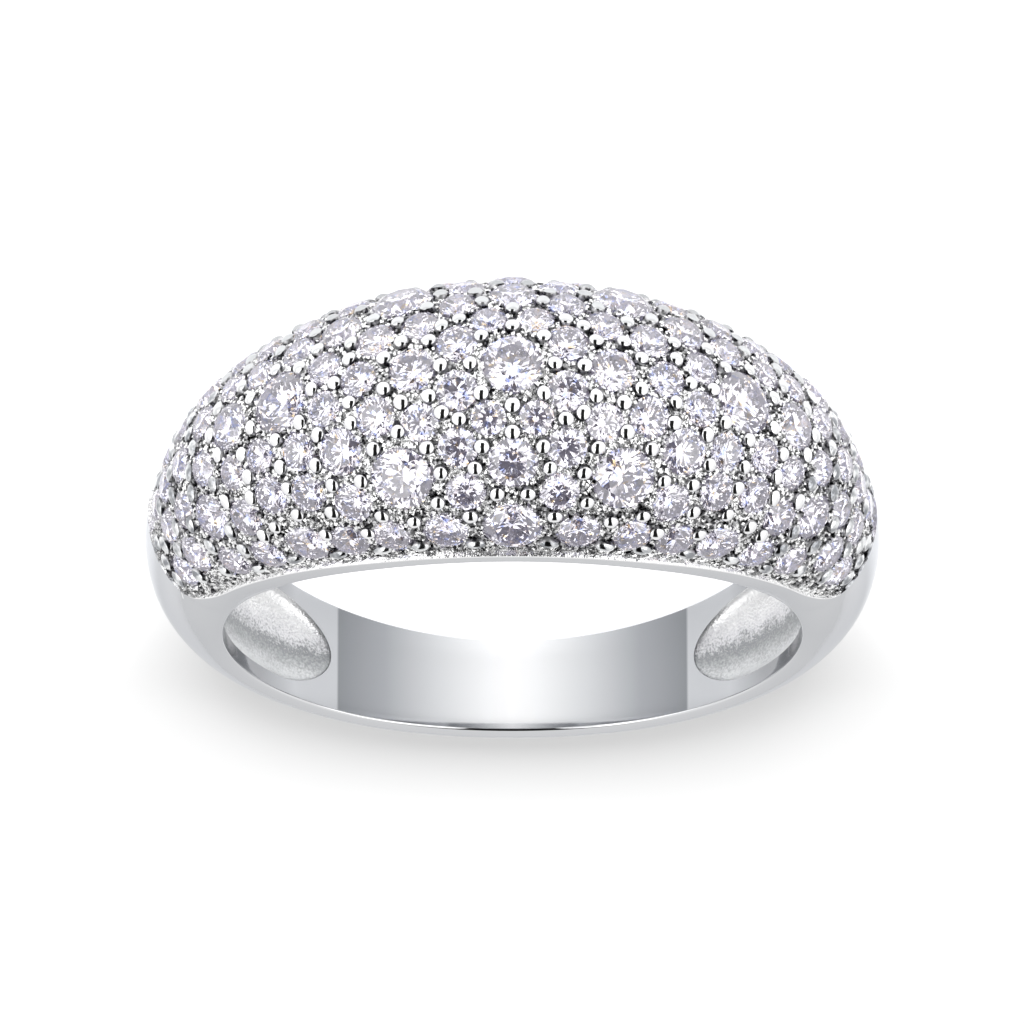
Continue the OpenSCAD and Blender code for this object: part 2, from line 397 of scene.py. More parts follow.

# %% Burnished bead with painted shade towards the table
# place on the ramp, colour; the ramp paints shade that is darker towards the table
PAINTED_SHADE_BEAD_GREYS = [(0.1, (0.4, 0.41, 0.42)), (0.3, (0.64, 0.65, 0.66)), (0.5, (0.94, 0.94, 0.95))]
RAMP_PER_MM = 0.1  # one millimetre up is this much of the ramp
WAVER_MM, WAVER_SHIFT = 0.6, 0.15  # size of the uneven patches, and how much of the ramp they shift
BEAD_ROUGH, BEAD_ROUGH_CHANGE = 0.06, 0.04


def burnished_finish():
    """A mirror with painted shade: greyer near the table, which is the upper part of the picture."""
    material, start = new_material("burnished_metal")
    level = coordinate(start, 2) * (1 / MM)
    waver = noise(start, WAVER_MM) - 0.5
    finish_material(start, start.node("BsdfPrincipled", inputs={
        "Base Color": ramp(RAMP_PER_MM * level + WAVER_SHIFT * waver, PAINTED_SHADE_BEAD_GREYS),
        "Metallic": 1.0, "Roughness": BEAD_ROUGH + BEAD_ROUGH_CHANGE * waver}))
    return material


burnished = burnished_finish()
print(burnished.name, "is ready")

# %% [markdown]
# ## The sandblasted pocket
#
# The pocket under the dome is blasted with fine sand: bright, matt and grainy.
# Its colour carries painted light and shade: a darker trough along the middle
# of the hollow, with lighter sides. The ramp follows the height in the ring's
# own axes, and two noises blur it: a slow one bends the trough, and a fine one
# is the grain of the sand, which also raises the surface.

# %% Sandblasted metal with painted light and shade in a trough
PAINTED_TROUGH = [
    # share of the way from one side of the pocket to the other, colour of the painted light and shade
    (0.1, (0.7, 0.7, 0.72)), (0.3, (0.95, 0.95, 0.95)), (0.45, (0.7, 0.7, 0.72)),
    (0.54, (0.28, 0.29, 0.3)), (0.62, (0.42, 0.43, 0.44)), (0.74, (0.7, 0.71, 0.72)),
    (0.9, (0.5, 0.51, 0.52))]
TROUGH_MIDDLE, TROUGH_PER_MM = 0.53, 0.2  # share at the middle plane, and its change with the height
WANDER_MM, WANDER_SHIFT = 0.5, 0.12  # size of the slow bends, and how much of the ramp they shift
SAND_MM, SAND_SHIFT = 0.075, 0.27  # the same for the grain of the sand
SAND_DEPTH_MM, SAND_STRENGTH = 0.04, 0.7
SAND_ROUGH, SAND_ROUGH_CHANGE = 0.35, 0.2


def blasted_finish():
    """Matt metal with painted shade in a dark trough that runs round the ring, and painted light on its
    sides.
    """
    material, start = new_material("sandblasted_metal")
    height = start.node("VectorMath", {"operation": "DOT_PRODUCT"}, output="Value", inputs={
        0: start.node("TexCoord", output="Object"), 1: (0.0, SIN_LEAN, COS_LEAN)}) * (1 / MM)
    height = height - (CENTRE_Y * SIN_LEAN + LIFT * COS_LEAN)
    sand = noise(start, SAND_MM)
    wander = noise(start, WANDER_MM)
    place = (TROUGH_MIDDLE + TROUGH_PER_MM * height + WANDER_SHIFT * (wander - 0.5)
             + SAND_SHIFT * (sand - 0.5))
    bump = start.node("Bump", inputs={
        "Height": sand, "Strength": SAND_STRENGTH, "Distance": SAND_DEPTH_MM * MM})
    finish_material(start, start.node("BsdfPrincipled", inputs={
        "Base Color": ramp(place, PAINTED_TROUGH), "Metallic": 1.0,
        "Roughness": SAND_ROUGH + SAND_ROUGH_CHANGE * (wander - 0.5), "Normal": bump}))
    return material


blasted = blasted_finish()
print(blasted.name, "is ready")

# %% [markdown]
# ## The chart of the stones
#
# The pattern has two mirror lines, so a quarter of it is enough. Each row
# gives a stone's two angles and its diameter. A rule that packs circles would
# be shorter, but the setter fits stones of many sizes by eye, so the chart
# lists them one by one. The rows are the same as in the CAD model, and so is
# the order of the mirror images, so that every stone here takes the place of
# one there.

# %% The stones of one quarter, and all of them
STONES = [
    # round the ring, across the section, diameter
    (0, 0, 1.85), (13.3, 0, 1.4), (20.7, 0, 1.15), (33.2, 0, 1.95), (43.3, 0, 1.5),
    (7.3, 11, 1.25), (26, 9.8, 1.1), (50.2, 13, 1.1), (57, 0, 1.1), (18.6, 18.2, 1.25),
    (37.8, 21.5, 1.05), (3.2, 23, 1.05), (12.5, 23, 1.15), (43.8, 23.5, 1.05),
    (58.5, 25, 1.15), (31, 25.4, 1.15), (24.4, 30, 1.4), (7.5, 34.6, 1.2), (52, 38, 1.4),
    (38, 40.5, 1.15), (0, 41.5, 1.5), (31.4, 44.3, 1.2), (16.2, 45.6, 1.9),
    (44.8, 46.5, 1.2), (62, 49.5, 1.25), (69.4, 51, 1.1), (24.6, 53.6, 1.2), (7, 54, 1.2),
    (54.3, 66.3, 1.15), (36.6, 70.5, 1.35), (0, 72.5, 1.8), (45.8, 70.3, 1.15), (11.2, 74, 1.35),
    (28.6, 73.3, 1.25), (20.7, 74, 1.2), (65.8, 24, 1.15), (64, 0, 1.15), (70.5, 0, 1.05)]
MAIN_SIZE = 1.45


def with_mirror_images(rows):
    """Repeats each row across both mirror lines, but not onto itself."""
    return [(sa * a, st * t, *rest) for a, t, *rest in rows
            for sa in ((1, -1) if a else (1,)) for st in ((1, -1) if t else (1,))]


ALL_STONES = with_mirror_images(STONES)
main_stones = [s for s in ALL_STONES if s[2] >= MAIN_SIZE]
small_stones = [s for s in ALL_STONES if s[2] < MAIN_SIZE]
print(len(main_stones), "large stones and", len(small_stones), "small ones")

# %% [markdown]
# ## A place for each stone
#
# A stone sits square to the floor below it. Two short steps along the floor
# give two directions, and their cross product gives the third, straight out.
# A wide stone sits a little lower, because the curved floor falls away under
# its rim.

# %% The frame of a stone
# shares of the diameter: depth below the girdle, girdle, height above it, table
PAVILION, GIRDLE, CROWN, TABLE = 0.43, 0.03, 0.15, 0.58
GIRDLE_OVER_FLOOR = 0.15
FLOOR_CURVE = 4.2  # about the radius of the floor across the band
SEAT_GAP = 0.03  # room between a stone and its seat


def floor_frame(a, t, drop=FIELD_DROP):
    """A point of the floor and three directions: along the ring, across it, outwards."""
    step = 0.01
    point = skin(a, t, drop)
    along = skin(a + step, t, drop) - point
    across = skin(a, t + step, drop) - point
    x = along / np.linalg.norm(along)
    z = np.cross(along, across)
    z /= np.linalg.norm(z)
    return point, np.array([x, np.cross(z, x), z])


def girdle_level(size):
    """Height of the girdle's lower edge above the floor."""
    return GIRDLE_OVER_FLOOR - size * size / (8 * FLOOR_CURVE)


def seat_tip(size):
    """Height of the point of the seat's cone, below the stone's own point."""
    return girdle_level(size) - PAVILION * size - SEAT_GAP / math.sin(math.atan(1 / (2 * PAVILION)))


MIDDLE_STONE = STONES[0][2]
print("the middle stone's girdle is", round(girdle_level(MIDDLE_STONE), 3), "mm above the floor")

# %% [markdown]
# ## The band as one grid of points
#
# The casting is a loop of sections. Every section has the same number of
# points, so neighbours can be joined by a regular grid of faces. Inside the
# stone field the points lie close together, because there the grid also has
# to show the seats. The columns of the grid follow the field's border, which
# keeps that edge crisp however fine or coarse the grid is.

# %% The field's border
# section angle of the border at the front, and how much less it is at a ring angle
BORDER_MIDDLE, BORDER_FALL, BORDER_FALL_AT = 88, 10, 70
# degrees of the round corner, degrees behind it in which the line comes back, and its fall
CORNER_LENGTH, CORNER_RUN_OUT, CORNER_FALL = 10.5, 12, 20
CORNER_START = FIELD_END - CORNER_LENGTH


def border(a):
    """Section angle of the field's border: it falls to the shoulders and turns a round corner."""
    a = np.abs(a)
    side = BORDER_MIDDLE - BORDER_FALL * (np.minimum(a, FIELD_END) / BORDER_FALL_AT) ** 2
    s = np.clip((a - CORNER_START) / (FIELD_END - CORNER_START), 0, 1)
    corner = CORNER_FALL * (1 - np.sqrt(1 - s * s))
    fade = CORNER_FALL * np.clip(1 - (a - FIELD_END) / CORNER_RUN_OUT, 0, 1)
    return side - np.where(a <= FIELD_END, corner, fade)


print("the border is at", round(float(border(0)), 1), "degrees in the middle")

# %% The columns across the band
FIELD_COLUMNS = 62
WALL = 0.8  # degrees that the wall of the field takes
WALL_STEPS = [(0.6, 0.55), (0.2, 0.06)]  # share of the wall's width, share of the drop
LINE_WIDTH = 1.0  # degrees that the bright line takes
RIM_COLUMNS = np.array([0, 0.12, 0.3, 0.5, 0.75, 1.0])


def half_section(a, sunk):
    """Section angles and drops from the crown to the side face at one ring angle."""
    b = float(border(a))
    inside = np.linspace(0, b - WALL, FIELD_COLUMNS)
    wall = np.array([b - share * WALL for share, _ in WALL_STEPS])
    outside = np.concatenate([[b], b + LINE_WIDTH + RIM_COLUMNS * (90 - b - LINE_WIDTH)])
    drops = np.concatenate([np.ones(len(inside)), [drop for _, drop in WALL_STEPS], np.zeros(len(outside))])
    return np.concatenate([inside, wall, outside]), drops * FIELD_DROP * sunk


print(len(half_section(0, 1)[0]), "columns from the crown to the side face")

# %% [markdown]
# ## The inside of the band
#
# Inside, two polished rims touch the finger. Between them, under the dome, a
# long pocket is sunk into the metal to save weight, and it ends in a round at
# each side of the shank. The loop of each section goes on through this inner
# side: the rim's rounded corner, the bore, the pocket and back again.

# %% Pocket and bore
POCKET_END, POCKET_ROUND = 140.5, 14  # ring angle of its end, and length of its round
POCKET_WALL, POCKET_BACK_WALL = 1.6, 1.0  # metal over it, below the stones' floor and further back
WALL_CHANGE, WALL_CHANGE_LENGTH = 65, 30  # ring angles between which the one becomes the other
POCKET_RIM, POCKET_RIM_EXTRA = 0.54, 1.0  # width of the rim beside it, and what the front adds
POCKET_FULLNESS = 0.8  # 1 would be an ellipse, less is fuller
POCKET_COLUMNS = 25
CORNER, CORNER_POINTS = 0.07, 5  # radius of the rim's rounded edge
BORE_SHARES = (0.66, 0.33, 0.04)
SIDE_SHARE = 0.6  # share of the side face's height where it has a point of its own
print("the pocket reaches", POCKET_END, "degrees to each side")

# %% The depth and width of the pocket


def pocket(a):
    """Depth and half width of the pocket at a ring angle; both are 0 past its end."""
    into_round = max(0.0, (abs(a) - (POCKET_END - POCKET_ROUND)) / POCKET_ROUND)
    share = math.sqrt(max(0.0, 1 - into_round ** 2))
    s = min(1.0, max(0.0, (abs(a) - WALL_CHANGE) / WALL_CHANGE_LENGTH))
    wall = (POCKET_WALL + FIELD_DROP) * (1 - s) + POCKET_BACK_WALL * s
    rim = POCKET_RIM + POCKET_RIM_EXTRA * max(0.0, math.cos(math.radians(a)))
    return (float(rise(a)) - wall) * share, (float(half_width(a)) - rim) * share


print("pocket depth and half width under the crown:", [round(x, 2) for x in pocket(0)], "mm")

# %% The inner side of a section


def inner_side(a):
    """Radius and height of the inner points, from the upper side face to the lower one."""
    hw, rim_edge = float(half_width(a)), float(edge(a))
    depth, half = pocket(a)
    turns = np.radians(np.linspace(0, 90, CORNER_POINTS))
    corner = [(BORE + CORNER * (1 - math.sin(q)), hw - CORNER * (1 - math.cos(q))) for q in turns]
    bore = [(BORE, half + (hw - CORNER - half) * share) for share in BORE_SHARES]
    swing = np.radians(np.linspace(90, 0, POCKET_COLUMNS))
    hollow = [(BORE + depth * math.cos(q) ** POCKET_FULLNESS, half * math.sin(q)) for q in swing]
    upper = [(BORE + rim_edge * SIDE_SHARE, hw)] + corner + bore + hollow
    return upper + [(r, -z) for r, z in reversed(upper[:-1])]


print(len(inner_side(0)), "points on the inner side of a section")

# %% [markdown]
# ## Where the sections stand
#
# The sections are close together along the stone field and closest in its
# round corners. Past the field they open out, and they close up again at the
# pocket's round ends.

# %% Ring angles of the sections
FIELD_SECTIONS, CORNER_SECTIONS, SHOULDER_SECTIONS = 128, 36, 30
ROUND_SECTIONS, BACK_SECTIONS = 16, 16
STEP_UP = 0.2  # degrees of the wall where the field ends
STEP_ANGLES = [FIELD_END - STEP_UP, FIELD_END - STEP_UP / 2, FIELD_END]


def closer_to_the_end(count):
    """Numbers from 0 to 1 that crowd together towards 1."""
    return np.sin(np.linspace(0, np.pi / 2, count))


half_angles = np.concatenate([
    np.linspace(0, CORNER_START, FIELD_SECTIONS)[:-1],
    CORNER_START + (STEP_ANGLES[0] - CORNER_START) * closer_to_the_end(CORNER_SECTIONS),
    STEP_ANGLES[1:],
    np.linspace(FIELD_END, POCKET_END - POCKET_ROUND, SHOULDER_SECTIONS)[1:-1],
    POCKET_END - POCKET_ROUND + POCKET_ROUND * closer_to_the_end(ROUND_SECTIONS),
    np.linspace(POCKET_END, 180, BACK_SECTIONS)[1:]])
ring_angles = np.concatenate([-half_angles[::-1], half_angles[1:-1]])
sunk_share = np.interp(np.abs(ring_angles), STEP_ANGLES, [1, 0.5, 0])
print(len(ring_angles), "sections")

# %% [markdown]
# ## Putting the grid together, with a seat under every stone
#
# Now each section becomes a row of points. Then the seats are pressed into
# the floor: a point that lies under a stone moves down onto a cone that is
# parallel to the stone's lower half and a hair wider. The setter drills them,
# but 131 cuts would leave slivers in a mesh, and pressing leaves a clean grid.

# %% The band's points
rows = []
for angle, sunk in zip(ring_angles, sunk_share):
    t, drops = half_section(angle, sunk)
    t_all = np.concatenate([-t[:0:-1], t])
    outer = skin(angle, t_all, np.concatenate([drops[:0:-1], drops]))
    inner = np.array([round_ring(angle, r, z) for r, z in inner_side(angle)])
    rows.append(np.concatenate([outer, inner]))
band_points = np.array(rows)
sections, per_section = band_points.shape[:2]
outer_count = len(t_all)
print("grid of", sections, "by", per_section, "points")

# %% Press the seats into the floor
SEAT_NEAR = 9  # only sections this close in degrees can have a point of the seat
SEAT_REACH = 0.7  # share of the stone's diameter
SEAT_HEIGHT = 0.6  # leaves the other side of the band alone
floor_columns = slice(outer_count // 2 - FIELD_COLUMNS - 1, outer_count // 2 + FIELD_COLUMNS + 2)
for a, t, size in ALL_STONES:
    place, axes = floor_frame(a, t)
    near = np.abs(ring_angles - a) < SEAT_NEAR
    block = band_points[near, floor_columns]
    local = (block - place) @ axes.T
    distance = np.hypot(local[..., 0], local[..., 1])
    cone = seat_tip(size) + distance * 2 * PAVILION
    under_stone = (distance < size * SEAT_REACH) & (np.abs(local[..., 2]) < SEAT_HEIGHT)
    sink = np.where(under_stone, np.minimum(0, cone - local[..., 2]), 0)
    band_points[near, floor_columns] = block + sink[..., None] * axes[2]
print("pressed", len(ALL_STONES), "seats")

# %% [markdown]
# ## Faces and finishes of the band
#
# Each face of the grid gets the number of its finish. Which one follows from
# the face's row and column: the field, the bright line round it, the pocket,
# the bore, and the polish for all the rest. So one mesh carries five finishes,
# just as the one casting does.

# %% A finish for each face
POLISHED, GRAVER_CUT, BLASTED, BORE_POLISH, BRIGHT_LINE = range(5)
POCKET_GONE = 0.05  # half width below which a section has no pocket
BORE_FIRST = CORNER_POINTS
POCKET_FIRST = 1 + CORNER_POINTS + len(BORE_SHARES)
POCKET_LAST = POCKET_FIRST + 2 * POCKET_COLUMNS - 2
BORE_LAST = POCKET_LAST + 1 + len(BORE_SHARES)
ring_column = np.abs(ring_angles)[:, None]
from_crown = np.arange(per_section) - outer_count // 2
from_crown = np.where(from_crown < 0, -from_crown - 1, from_crown)[None]
inner_columns = (np.arange(per_section) - outer_count)[None]
in_field = (ring_column < FIELD_END) & (from_crown <= FIELD_COLUMNS + 1)
on_line = (ring_column <= FIELD_END) & (from_crown == FIELD_COLUMNS + 2)
has_pocket = np.array([pocket(a)[1] for a in ring_angles])[:, None] > POCKET_GONE
in_pocket = has_pocket & (inner_columns >= POCKET_FIRST) & (inner_columns < POCKET_LAST)
in_bore = np.broadcast_to((inner_columns >= BORE_FIRST) & (inner_columns < BORE_LAST), in_pocket.shape)
finish_of_face = np.select([in_field, on_line, in_pocket, in_bore],
                           [GRAVER_CUT, BRIGHT_LINE, BLASTED, BORE_POLISH], POLISHED).reshape(-1)
print("faces of each finish:", np.bincount(finish_of_face).tolist())

# %% Join the sections into the band
section, column = np.meshgrid(np.arange(sections), np.arange(per_section), indexing="ij")
next_section, next_column = (section + 1) % sections, (column + 1) % per_section
corners = [(next_section, column), (next_section, next_column), (section, next_column), (section, column)]
quads = np.stack([s * per_section + c for s, c in corners], -1).reshape(-1, 4)
band = add_piece("band_casting", lay_down(band_points), quads.tolist(),
                 [polished, graver_cut, blasted, bore_polish, line_with_painted_highlight],
                 finish_of_face, smooth=35)
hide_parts("band")

# %% [markdown]
# ## Beads that hold the stones
#
# The setter raises small curls of metal between the stones and rounds each
# one to a bead. The chart works like that of the stones. A bead is a dome on a
# short root in painted shade. Near the border the beads are pushed over into
# ovals along it, and on the shoulders they are wider across the band. Copies
# of one object would be easier to make, but each bead leans its own way and
# has a size of its own, so we work out the points of each and join them into
# one mesh.

# %% The beads of one quarter
BEADS = [
    # round the ring, across the section
    (5.5, 0), (9.4, 0), (4.1, 12.9), (11, 12.6), (14.8, 13.9), (17.1, 7), (0, 18), (7.1, 22.9),
    (9.4, 19.8), (15.6, 25.7), (0, 28.9), (4.2, 34.5), (11.8, 33.5), (5.3, 43.2), (10.3, 44.5),
    (2.3, 54.8), (11.4, 57.6), (6.7, 65.3), (15.9, 66), (6.5, 81.5), (16.5, 81), (24.2, 0),
    (27.7, 0), (22.1, 10), (29.9, 13.2), (22.1, 18.8), (27.3, 20.6), (19.4, 31.3), (28.6, 32.9),
    (22.3, 43.8), (26.9, 43.1), (28.7, 55.4), (20.8, 61.3), (24.4, 69.2), (31.8, 66.1),
    (34.2, 17.3), (38.4, 7.5), (40.8, 17.6), (45.7, 12.3), (47.3, 0), (34.4, 29.6), (40.7, 28.6),
    (48.1, 24.1), (34.4, 39.6), (41.6, 38.3), (46.8, 35), (34.7, 52.8), (40, 55.8), (43.3, 58.1),
    (49.2, 49.5), (49.4, 61.5), (53.5, 10.7), (51.8, 0), (54.1, 21.3), (57.6, 34.6), (62.6, 29.1),
    (55.9, 51.5), (58.1, 67.9), (66, 60.9), (65.8, 39), (70.1, 28.7), (73, 22), (73, 36), (73, 50),
    (50.6, 76), (41.6, 77), (32.2, 79.5), (23.5, 80.5), (60.5, 0), (60.5, 13.5), (67.3, 8.5)]
BEAD_DROP = 0.11  # from the polished skin down to the foot of a bead's dome
ALL_BEADS = with_mirror_images(BEADS)
print(len(ALL_BEADS), "beads")

# %% The shape of a bead
DOME_RADIUS, BEAD_TOP, BEAD_SIDES = 0.3, 0.1, 14
DOME_RINGS = (0.05, 0.1, 0.14, 0.175, 0.2, 0.215)
BEAD_PROFILE = [(r, BEAD_TOP - DOME_RADIUS + math.sqrt(DOME_RADIUS**2 - r * r)) for r in DOME_RINGS]
BEAD_ROOT = [(0.235, -0.03), (0.24, -0.2)]


def bead_shape():
    """Points and faces of a bead: a polished dome on a root in painted shade."""
    points = [(0, 0, BEAD_TOP)]
    profile = BEAD_PROFILE + BEAD_ROOT
    turns = [math.tau * s / BEAD_SIDES for s in range(BEAD_SIDES)]
    for radius, height in profile:
        points += [(radius * math.cos(q), radius * math.sin(q), height) for q in turns]
    faces = [(0, 1 + s, 1 + (s + 1) % BEAD_SIDES) for s in range(BEAD_SIDES)]
    for r in range(len(profile) - 1):
        first, below = 1 + r * BEAD_SIDES, 1 + (r + 1) * BEAD_SIDES
        for s in range(BEAD_SIDES):
            after = (s + 1) % BEAD_SIDES
            faces.append((first + s, below + s, below + after, first + after))
    faces.append(tuple(range(len(points) - 1, len(points) - 1 - BEAD_SIDES, -1)))
    return np.array(points), faces


BEAD_FACES = len(bead_shape()[1])
print("a bead has", BEAD_FACES, "faces")

# %% A helper that joins shapes


def joined(shapes):
    """Joins (points, faces) pairs into one list of points and one of faces."""
    points, faces, first = [], [], 0
    for part_points, part_faces in shapes:
        points.append(part_points)
        faces += [tuple(first + n for n in face) for face in part_faces]
        first += len(part_points)
    return np.concatenate(points), faces


print("two joined beads have", len(joined([bead_shape()] * 2)[1]), "faces")

# %% How far a bead is pushed over
PUSH_START, PUSH_LENGTH = 0.82, 0.1  # shares of the way from the crown to the border
SHOULDER_START, SHOULDER_LENGTH = 38, 20  # ring angles


def pushed_over(a, t):
    """How far a bead is pushed over near the border, and how far on the shoulders, from 0 to 1."""
    flat = min(1.0, max(0.0, (abs(t) / float(border(a)) - PUSH_START) / PUSH_LENGTH))
    return flat, min(1.0, max(0.0, (abs(a) - SHOULDER_START) / SHOULDER_LENGTH)) * (1 - flat)


print("pushed over:", sum(max(pushed_over(a, t)) > 0.5 for a, t in ALL_BEADS), "of", len(ALL_BEADS), "beads")

# %% Make the beads
bead_chance = np.random.default_rng(3)
PUSHED_LONGER, PUSHED_NARROWER, SHOULDER_WIDER = 0.35, 0.15, 0.3
BEAD_SIZES, BEAD_LEAN = (0.93, 1.07), 0.08


def bead(a, t):
    """Points and faces of one bead in its place, with a size and a lean by chance."""
    shape_points, shape_faces = bead_shape()
    place, axes = floor_frame(a, t, BEAD_DROP)
    flat, low = pushed_over(a, t)
    stretch = np.array([1 + PUSHED_LONGER * flat, 1 - PUSHED_NARROWER * flat + SHOULDER_WIDER * low, 1.0])
    stretch = stretch * bead_chance.uniform(*BEAD_SIZES, 3)
    axes = axes + BEAD_LEAN * bead_chance.uniform(-1, 1, (3, 1)) * axes[[1, 2, 0]]
    return place + (shape_points * stretch) @ axes, shape_faces


def bead_finish(a, t, face):
    """0 for a round bead's dome, 1 for a root in painted shade, 2 for the dome of a bead that is pushed over.
    """
    if face >= BEAD_SIDES * len(BEAD_PROFILE):
        return 1
    return 2 if max(pushed_over(a, t)) > 0.5 else 0


bead_points, bead_faces = joined([bead(a, t) for a, t in ALL_BEADS])
bead_kinds = [bead_finish(a, t, face) for a, t in ALL_BEADS for face in range(BEAD_FACES)]
add_piece("bead_field", lay_down(bead_points), bead_faces, [burnished, painted_shade_metal, pressed_bead],
          bead_kinds, smooth=50)

# %% [markdown]
# ## The rough floor between the stones
#
# Round every seat the graver leaves a crumbly surface, and along the border it
# leaves a strip of it. From a hand's width away it looks like fine gravel in
# black and white: each crumb is a little mirror that leans its own way. Bump
# alone would look flat at the border, so we make the crumbs as small blocks,
# wherever there is neither a stone nor a bead. The four corners of a block's
# top have heights of their own, so the top is two little mirrors that lean by
# 18 degrees on average, and only some of them catch the light. A clear ring
# round each bead stays dark, as in the photograph.

# %% Where the crumbs lie
crumb_chance = np.random.default_rng(11)
CRUMB_STEP = 0.12
FIELD_RADIUS = 12  # about how far the floor is from the finger's axis
FIRST_ROW, LAST_ROW = -FIELD_END + 0.6, FIELD_END - 0.5  # ring angles
SIDE_MARGIN = 1.5  # degrees that stay clear along the border
STRAY_ALONG, STRAY_ACROSS = 0.25, 0.7  # degrees that a crumb may lie off the grid
STONE_COVER = 0.9  # share of a stone's radius within which no crumb stands
BEAD_CLEAR, BEAD_CLEAR_PER_DEGREE = 0.285, 0.0013  # clear radius round a bead, less on the shoulders
stone_centres = np.array([floor_frame(a, t)[0] for a, t, _ in ALL_STONES])
stone_radii = np.array([size / 2 for _, _, size in ALL_STONES])
bead_centres = np.array([floor_frame(a, t)[0] for a, t in ALL_BEADS])


def crumb_places():
    """Ring and section angles on a loose grid over the whole field."""
    for a in np.arange(FIRST_ROW, LAST_ROW, math.degrees(CRUMB_STEP / FIELD_RADIUS)):
        reach_out = float(border(a)) - SIDE_MARGIN
        count = int(2 * math.radians(reach_out) * float(half_width(a)) / CRUMB_STEP)
        for t in np.linspace(-reach_out, reach_out, count):
            yield (a + crumb_chance.uniform(-STRAY_ALONG, STRAY_ALONG),
                   t + crumb_chance.uniform(-STRAY_ACROSS, STRAY_ACROSS))


def is_free(place, a):
    """True where neither a stone nor a bead with its dark ring covers the floor."""
    from_stones = np.linalg.norm(stone_centres - place, axis=1)
    from_beads = np.linalg.norm(bead_centres - place, axis=1)
    clear = BEAD_CLEAR - BEAD_CLEAR_PER_DEGREE * abs(a)
    return not np.any(from_stones < stone_radii * STONE_COVER) and from_beads.min() >= clear


print("the middle of the front is free:", is_free(floor_frame(0, 0)[0], 0))

# %% Make the crumbs
CRUMB_WIDE, CRUMB_HIGH, CRUMB_LEAN = (0.06, 0.1), (0.1, 0.24), 0.03
CRUMB_TAPER, CRUMB_FOOT = 0.85, -0.03
# share of the crumbs, picked by chance, that take the painted shade metal
PAINTED_SHADE_CRUMBS = 0.24
CRUMB_TOP_AND_BASE = [(4, 5, 6), (4, 6, 7), (3, 2, 1, 0)]
CRUMB_FACES = CRUMB_TOP_AND_BASE + [(q, (q + 1) % 4, 4 + (q + 1) % 4, 4 + q) for q in range(4)]


def crumb(place, axes):
    """The eight corners of a small block that stands on the floor."""
    wide, high = crumb_chance.uniform(*CRUMB_WIDE), crumb_chance.uniform(*CRUMB_HIGH)
    turns = crumb_chance.uniform(0, math.pi) + np.arange(4) * math.tau / 4
    feet = np.stack([wide * np.cos(turns), wide * np.sin(turns), np.full(4, CRUMB_FOOT)], 1)
    heights = high + crumb_chance.uniform(-CRUMB_LEAN, CRUMB_LEAN, 4)
    top = np.stack([CRUMB_TAPER * feet[:, 0], CRUMB_TAPER * feet[:, 1], heights], 1)
    return place + np.concatenate([feet, top]) @ axes


crumbs, crumb_kinds = [], []
for a, t in crumb_places():
    place, axes = floor_frame(a, t)
    if is_free(place, a):
        crumbs.append((crumb(place, axes), CRUMB_FACES))
        # a crumb picked by chance takes the painted shade metal
        crumb_kinds += [int(crumb_chance.uniform() < PAINTED_SHADE_CRUMBS)] * len(CRUMB_FACES)
crumb_points, crumb_faces = joined(crumbs)
add_piece("graver_crumbs", lay_down(crumb_points), crumb_faces, [graver_cut, painted_shade_metal],
          crumb_kinds)

# %% [markdown]
# ## The cut stones
#
# A round brilliant has a flat table, eight stars, eight kites and sixteen
# upper facets over the girdle, and below it sixteen lower facets and eight
# mains that meet in a point. Flat faces and a clear material with a high
# index of refraction are enough: the sparkle comes from light that is thrown
# back between those faces. So no edge is smoothed here, and each corner is
# worked out so that the four-sided facets are truly flat.

# %% A round brilliant
MAIN_SHARE = 0.24  # where the lower main facets meet the lower girdle facets, as a share of the radius


def wheel(radius, height, count, shift, twist):
    """Points evenly round a circle, the first one shifted by a share of a step."""
    angles = [2 * math.pi * (q + shift) / count + twist for q in range(count)]
    return [(radius * math.cos(angle), radius * math.sin(angle), height) for angle in angles]


def brilliant(size, low, twist):
    """Points and faces of a stone, its axis along z; low is the girdle's lower edge."""
    radius, high = size / 2, low + GIRDLE * size
    table_r, top, tip = radius * TABLE, high + CROWN * size, low - PAVILION * size
    half_step = math.cos(math.pi / 8)
    star_r = (table_r * half_step + radius) / 2
    star_z = top + (star_r * half_step - table_r) * (high - top) / (radius - table_r)
    low_r = radius * MAIN_SHARE
    low_z = tip + low_r * half_step * (low - tip) / radius
    points = (wheel(table_r, top, 8, 0.5, twist) + wheel(star_r, star_z, 8, 0, twist)
              + wheel(radius, high, 16, 0, twist) + wheel(radius, low, 16, 0, twist)
              + wheel(low_r, low_z, 8, 0, twist) + [(0, 0, tip)])
    # where each wheel starts in the list of points: table, stars, girdle, lower girdle, mains, point
    t, s, g, h, p, c = 0, 8, 16, 32, 48, 56
    faces = [tuple(range(8))]
    for q in range(8):
        n = (q + 1) % 8
        here, mid, after = 2 * q, 2 * q + 1, (2 * q + 2) % 16
        faces += [(t + q, s + n, t + n), (t + q, s + q, g + mid, s + n),
                  (s + q, g + here, g + mid), (s + n, g + mid, g + after),
                  (g + here, h + here, h + mid, g + mid), (g + mid, h + mid, h + after, g + after),
                  (p + q, h + mid, h + here), (p + n, h + after, h + mid), (c, p + n, h + mid, p + q)]
    return np.array(points), faces


print("a brilliant has", len(brilliant(1.0, 0.0, 0.0)[1]), "faces")

# %% [markdown]
# ## The stones' material
#
# Clear stones of this kind bend light strongly, with an index of refraction of
# about 2.2. We take 2.4, because with so few light paths the facets look
# livelier with it. Seen against white, the stones look white with a breath of
# lavender, and here and there a facet flashes blue or orange. A real stone
# splits the light to do that. Here a noise about as large as a facet paints
# those flashes into the clear material instead, and a faint glow, which is
# painted light, keeps the deepest facets from going black.

